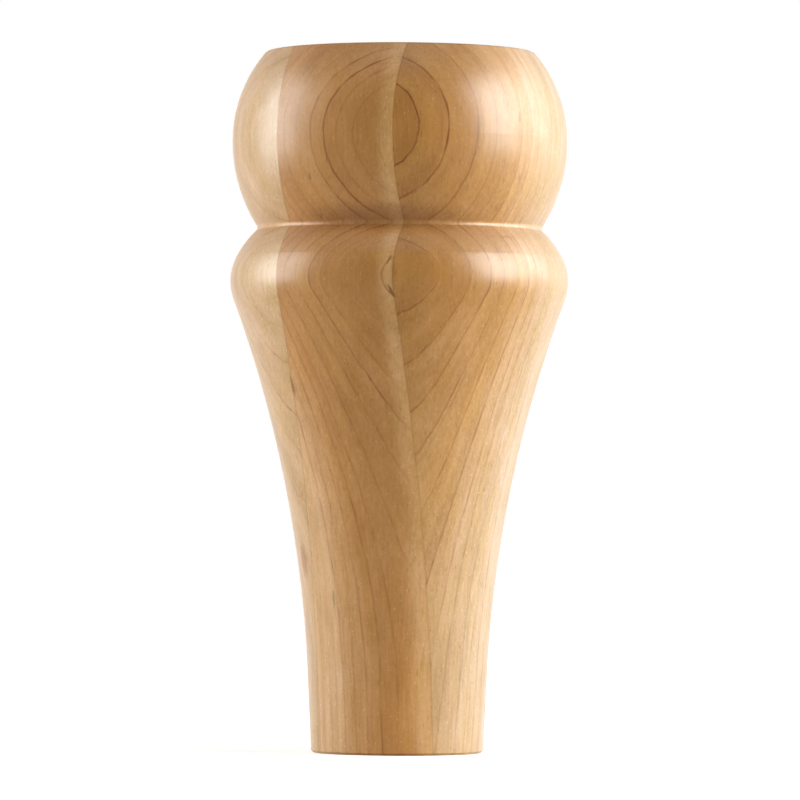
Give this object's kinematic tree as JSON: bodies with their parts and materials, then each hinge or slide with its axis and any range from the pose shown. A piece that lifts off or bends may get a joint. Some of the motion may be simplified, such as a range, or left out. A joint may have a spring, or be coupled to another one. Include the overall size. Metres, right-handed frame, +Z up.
{
  "type": "bun foot",
  "caption": "Tall turned wooden furniture foot: a flat-topped ball over a groove and a rounded shoulder, with a long hollow taper to a narrow flat base.",
  "frame": {"origin": "centre of the flat base, on the surface that the foot stands on", "axes": "+Z up along the turning axis, from the narrow base to the flat top face that meets the furniture; +Y away from the viewer of the picture and +X to the viewer's right"},
  "size_m": [0.098, 0.098, 0.2032],
  "materials": {
    "maple": "satin"
  },
  "bodies": {
    "root": {"foot": "maple"}
  },
  "joints": []
}
